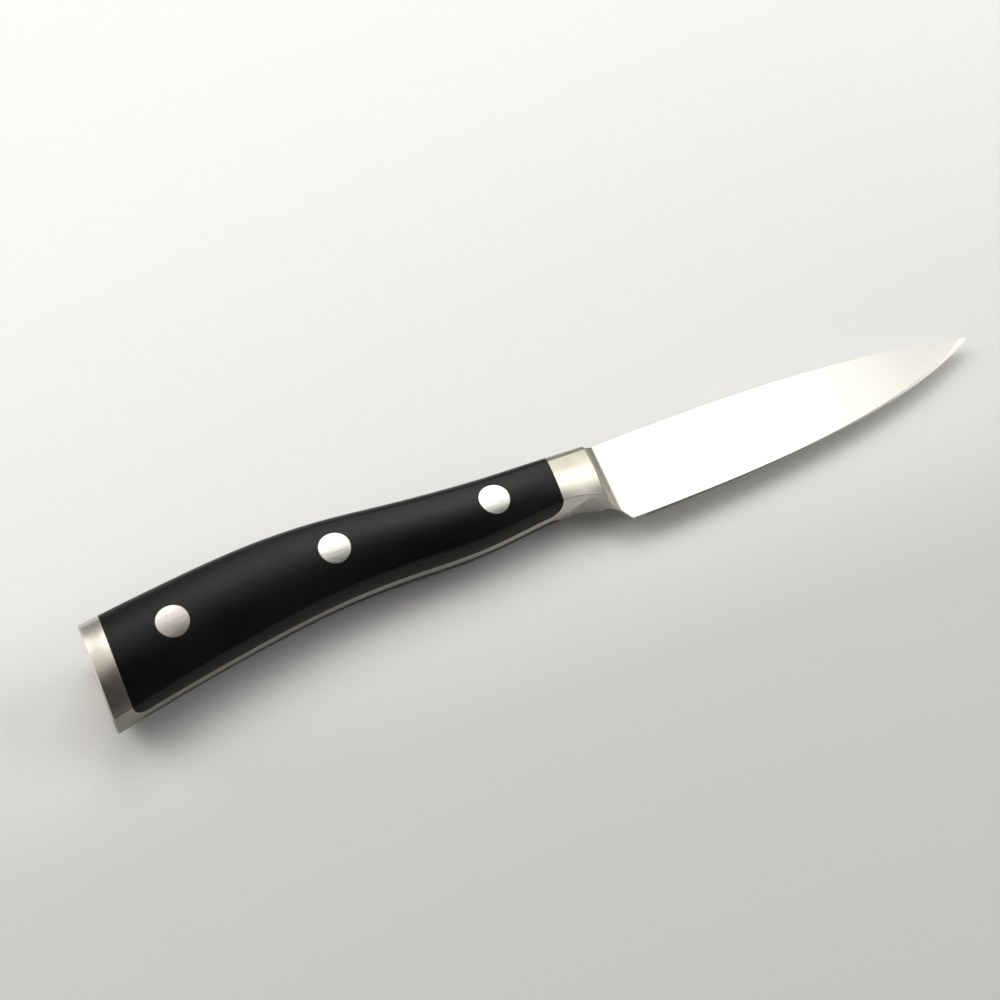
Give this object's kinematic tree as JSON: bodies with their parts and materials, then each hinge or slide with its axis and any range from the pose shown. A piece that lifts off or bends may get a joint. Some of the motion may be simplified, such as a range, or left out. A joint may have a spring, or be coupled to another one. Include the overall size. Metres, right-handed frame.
{
  "type": "paring knife",
  "caption": "Forged full-tang paring knife with a half bolster, steel butt cap, curved black handle scales and flush round rivets, lying on its side.",
  "frame": {"origin": "middle of the knife's bounding box in X and Y, at its lowest point in Z, so it lies on the XY plane on its left side", "axes": "+X from the butt to the tip, +Y from the cutting edge to the spine, +Z out of the right-hand side of the knife through its thickness"},
  "size_m": [0.198, 0.0247, 0.016],
  "materials": {
    "forged_steel": "fine satin grind, brighter on the blade flanks than on the bolster and butt cap",
    "black_scale": "satin black moulded plastic, polished flush with the steel",
    "rivet_steel": "polished flush with the scales"
  },
  "bodies": {
    "root": {"blade_forging": "forged_steel", "right_scale": "black_scale", "left_scale": "black_scale", "rear_rivet_sleeve": "rivet_steel", "rear_rivet_pin": "rivet_steel", "middle_rivet_sleeve": "rivet_steel", "middle_rivet_pin": "rivet_steel", "front_rivet_sleeve": "rivet_steel", "front_rivet_pin": "rivet_steel"}
  },
  "joints": []
}
